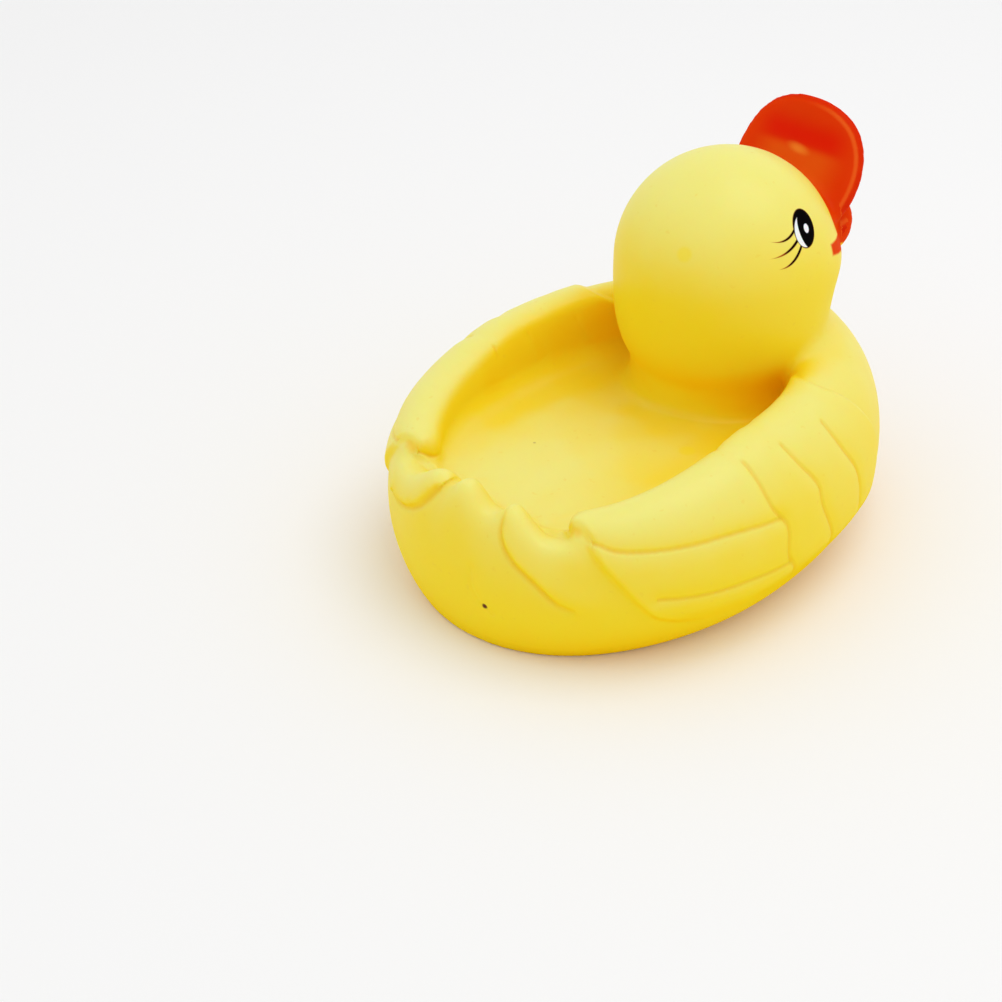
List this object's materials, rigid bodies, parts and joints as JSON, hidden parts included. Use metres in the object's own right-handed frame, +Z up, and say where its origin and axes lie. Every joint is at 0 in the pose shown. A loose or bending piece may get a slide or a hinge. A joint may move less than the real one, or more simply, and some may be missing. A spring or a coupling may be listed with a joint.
{
  "type": "rubber duck",
  "caption": "Soft vinyl bath duck with an open bowl for a back, raised wings and tail feathers, a turned-up bill and a whistle pressed into the flat base",
  "frame": {"origin": "on the ground, under the middle of the overall length and width", "axes": "-Y is where the duck looks, +Z is up, X is across it"},
  "size_m": [0.101, 0.1279, 0.0903],
  "materials": {
    "vinyl": "soft matt vinyl with a sprayed orange bill and printed eyes",
    "whistle_plastic": "moulded, matt",
    "reed_film": "thin film"
  },
  "bodies": {
    "root": {"duck_body": "vinyl", "whistle_housing": "whistle_plastic", "whistle_reed": "reed_film"}
  },
  "joints": []
}
